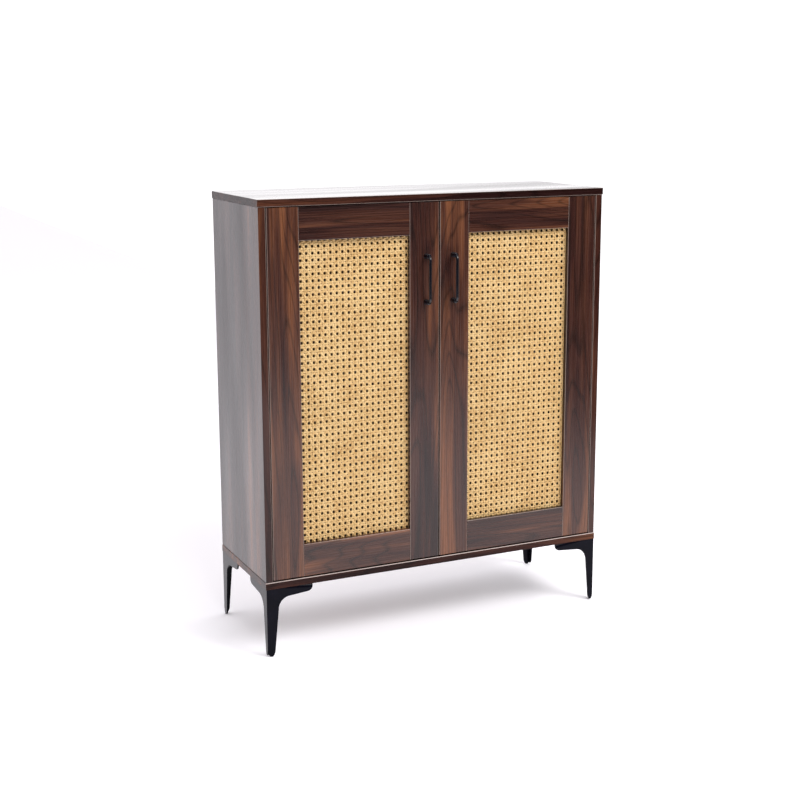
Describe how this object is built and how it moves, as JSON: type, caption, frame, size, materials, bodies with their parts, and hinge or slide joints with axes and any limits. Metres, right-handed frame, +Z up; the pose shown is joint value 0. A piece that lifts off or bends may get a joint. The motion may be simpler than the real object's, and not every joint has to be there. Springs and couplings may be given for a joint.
{
  "type": "shoe cabinet",
  "caption": "Tall shallow shoe cabinet with walnut-effect boards, framed doors with woven cane panels, bar handles and angle-section metal legs",
  "frame": {"origin": "centre of the whole cabinet's footprint, handles included, on the floor under the feet", "axes": "+Z up; the doors and handles face -Y; +X runs from the left side to the right as seen from the front"},
  "size_m": [0.8, 0.312, 0.95],
  "materials": {
    "walnut_board": "walnut-effect laminate on particleboard, satin",
    "walnut_door": "walnut-effect laminate on particleboard, satin, grain along each member",
    "shelf_board": "walnut-effect laminate on particleboard, satin",
    "hardboard": "thin hardboard, matt",
    "cane": "natural cane webbing, open octagonal weave",
    "black_metal": "black powder coat, satin",
    "bright_steel": "nickel-plated steel",
    "catch_plastic": "moulded plastic, matt"
  },
  "bodies": {
    "cabinet": {"top_panel": "walnut_board", "bottom_panel": "walnut_board", "left_side_panel": "walnut_board", "right_side_panel": "walnut_board", "back_panel": "hardboard", "fixed_shelf": "shelf_board", "lower_shelf": "shelf_board", "upper_shelf": "shelf_board", "lower_shelf_pin_left_front": "bright_steel", "lower_shelf_pin_left_back": "bright_steel", "lower_shelf_pin_right_front": "bright_steel", "lower_shelf_pin_right_back": "bright_steel", "upper_shelf_pin_left_front": "bright_steel", "upper_shelf_pin_left_back": "bright_steel", "upper_shelf_pin_right_front": "bright_steel", "upper_shelf_pin_right_back": "bright_steel", "left_upper_hinge_arm": "bright_steel", "left_upper_hinge_plate": "bright_steel", "left_lower_hinge_arm": "bright_steel", "left_lower_hinge_plate": "bright_steel", "right_upper_hinge_arm": "bright_steel", "right_upper_hinge_plate": "bright_steel", "right_lower_hinge_arm": "bright_steel", "right_lower_hinge_plate": "bright_steel", "door_catch": "catch_plastic", "leg_front_left": "black_metal", "leg_front_right": "black_metal", "leg_back_left": "black_metal", "leg_back_right": "black_metal"},
    "left_door": {"left_door_outer_stile": "walnut_door", "left_door_inner_stile": "walnut_door", "left_door_top_rail": "walnut_door", "left_door_bottom_rail": "walnut_door", "left_cane_panel": "cane", "left_cane_retaining_frame": "hardboard", "left_handle": "black_metal", "left_handle_screw_upper": "bright_steel", "left_handle_screw_lower": "bright_steel", "left_upper_hinge_cup": "bright_steel", "left_upper_hinge_pin": "bright_steel", "left_lower_hinge_cup": "bright_steel", "left_lower_hinge_pin": "bright_steel", "left_strike_plate": "bright_steel"},
    "right_door": {"right_door_outer_stile": "walnut_door", "right_door_inner_stile": "walnut_door", "right_door_top_rail": "walnut_door", "right_door_bottom_rail": "walnut_door", "right_cane_panel": "cane", "right_cane_retaining_frame": "hardboard", "right_handle": "black_metal", "right_handle_screw_upper": "bright_steel", "right_handle_screw_lower": "bright_steel", "right_upper_hinge_cup": "bright_steel", "right_upper_hinge_pin": "bright_steel", "right_lower_hinge_cup": "bright_steel", "right_lower_hinge_pin": "bright_steel", "right_strike_plate": "bright_steel"}
  },
  "joints": [
    {"name": "left_door_hinge", "type": "hinge", "parent": "cabinet", "child": "left_door", "pos_m": [-0.3635, -0.1251, 0.165], "axis": [0, 0, -1], "range_deg": [0, 110]},
    {"name": "right_door_hinge", "type": "hinge", "parent": "cabinet", "child": "right_door", "pos_m": [0.3635, -0.1251, 0.165], "axis": [0, 0, 1], "range_deg": [0, 110]}
  ]
}
